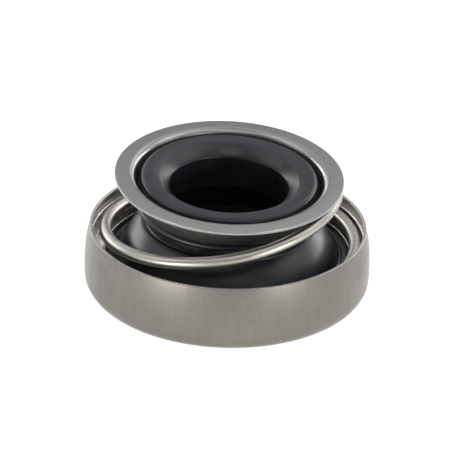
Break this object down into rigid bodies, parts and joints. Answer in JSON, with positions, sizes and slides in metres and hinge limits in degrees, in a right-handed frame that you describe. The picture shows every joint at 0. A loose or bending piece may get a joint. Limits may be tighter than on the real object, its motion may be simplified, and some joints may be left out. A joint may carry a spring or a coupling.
{
  "type": "mechanical seal",
  "caption": "Rotating head of a shaft face seal: drawn steel cup, conical spring, rubber bellows, flanged collar and a carbon face ring.",
  "frame": {"origin": "centre of the sealing face, on the shaft axis", "axes": "+Z along the shaft axis, from the sealing face towards the flanged collar; the spring's lower end lies at 250 degrees from +X"},
  "size_m": [0.032, 0.032, 0.0154],
  "materials": {
    "case_steel": "satin",
    "seat_steel": "gloss",
    "spring_wire": "gloss",
    "rubber": "satin",
    "retainer_steel": "satin",
    "carbon": "satin"
  },
  "bodies": {
    "head": {"case": "case_steel", "spring_seat": "seat_steel", "spring": "spring_wire", "bellows": "rubber", "face_ring": "carbon"},
    "collar": {"retainer": "retainer_steel"}
  },
  "joints": [
    {"name": "compression", "type": "slide", "parent": "head", "child": "collar", "axis": [0, 0, 1], "range_m": [-0.003, 0], "stiffness_N_per_m": 2500, "deforming": ["spring", "bellows"]}
  ]
}
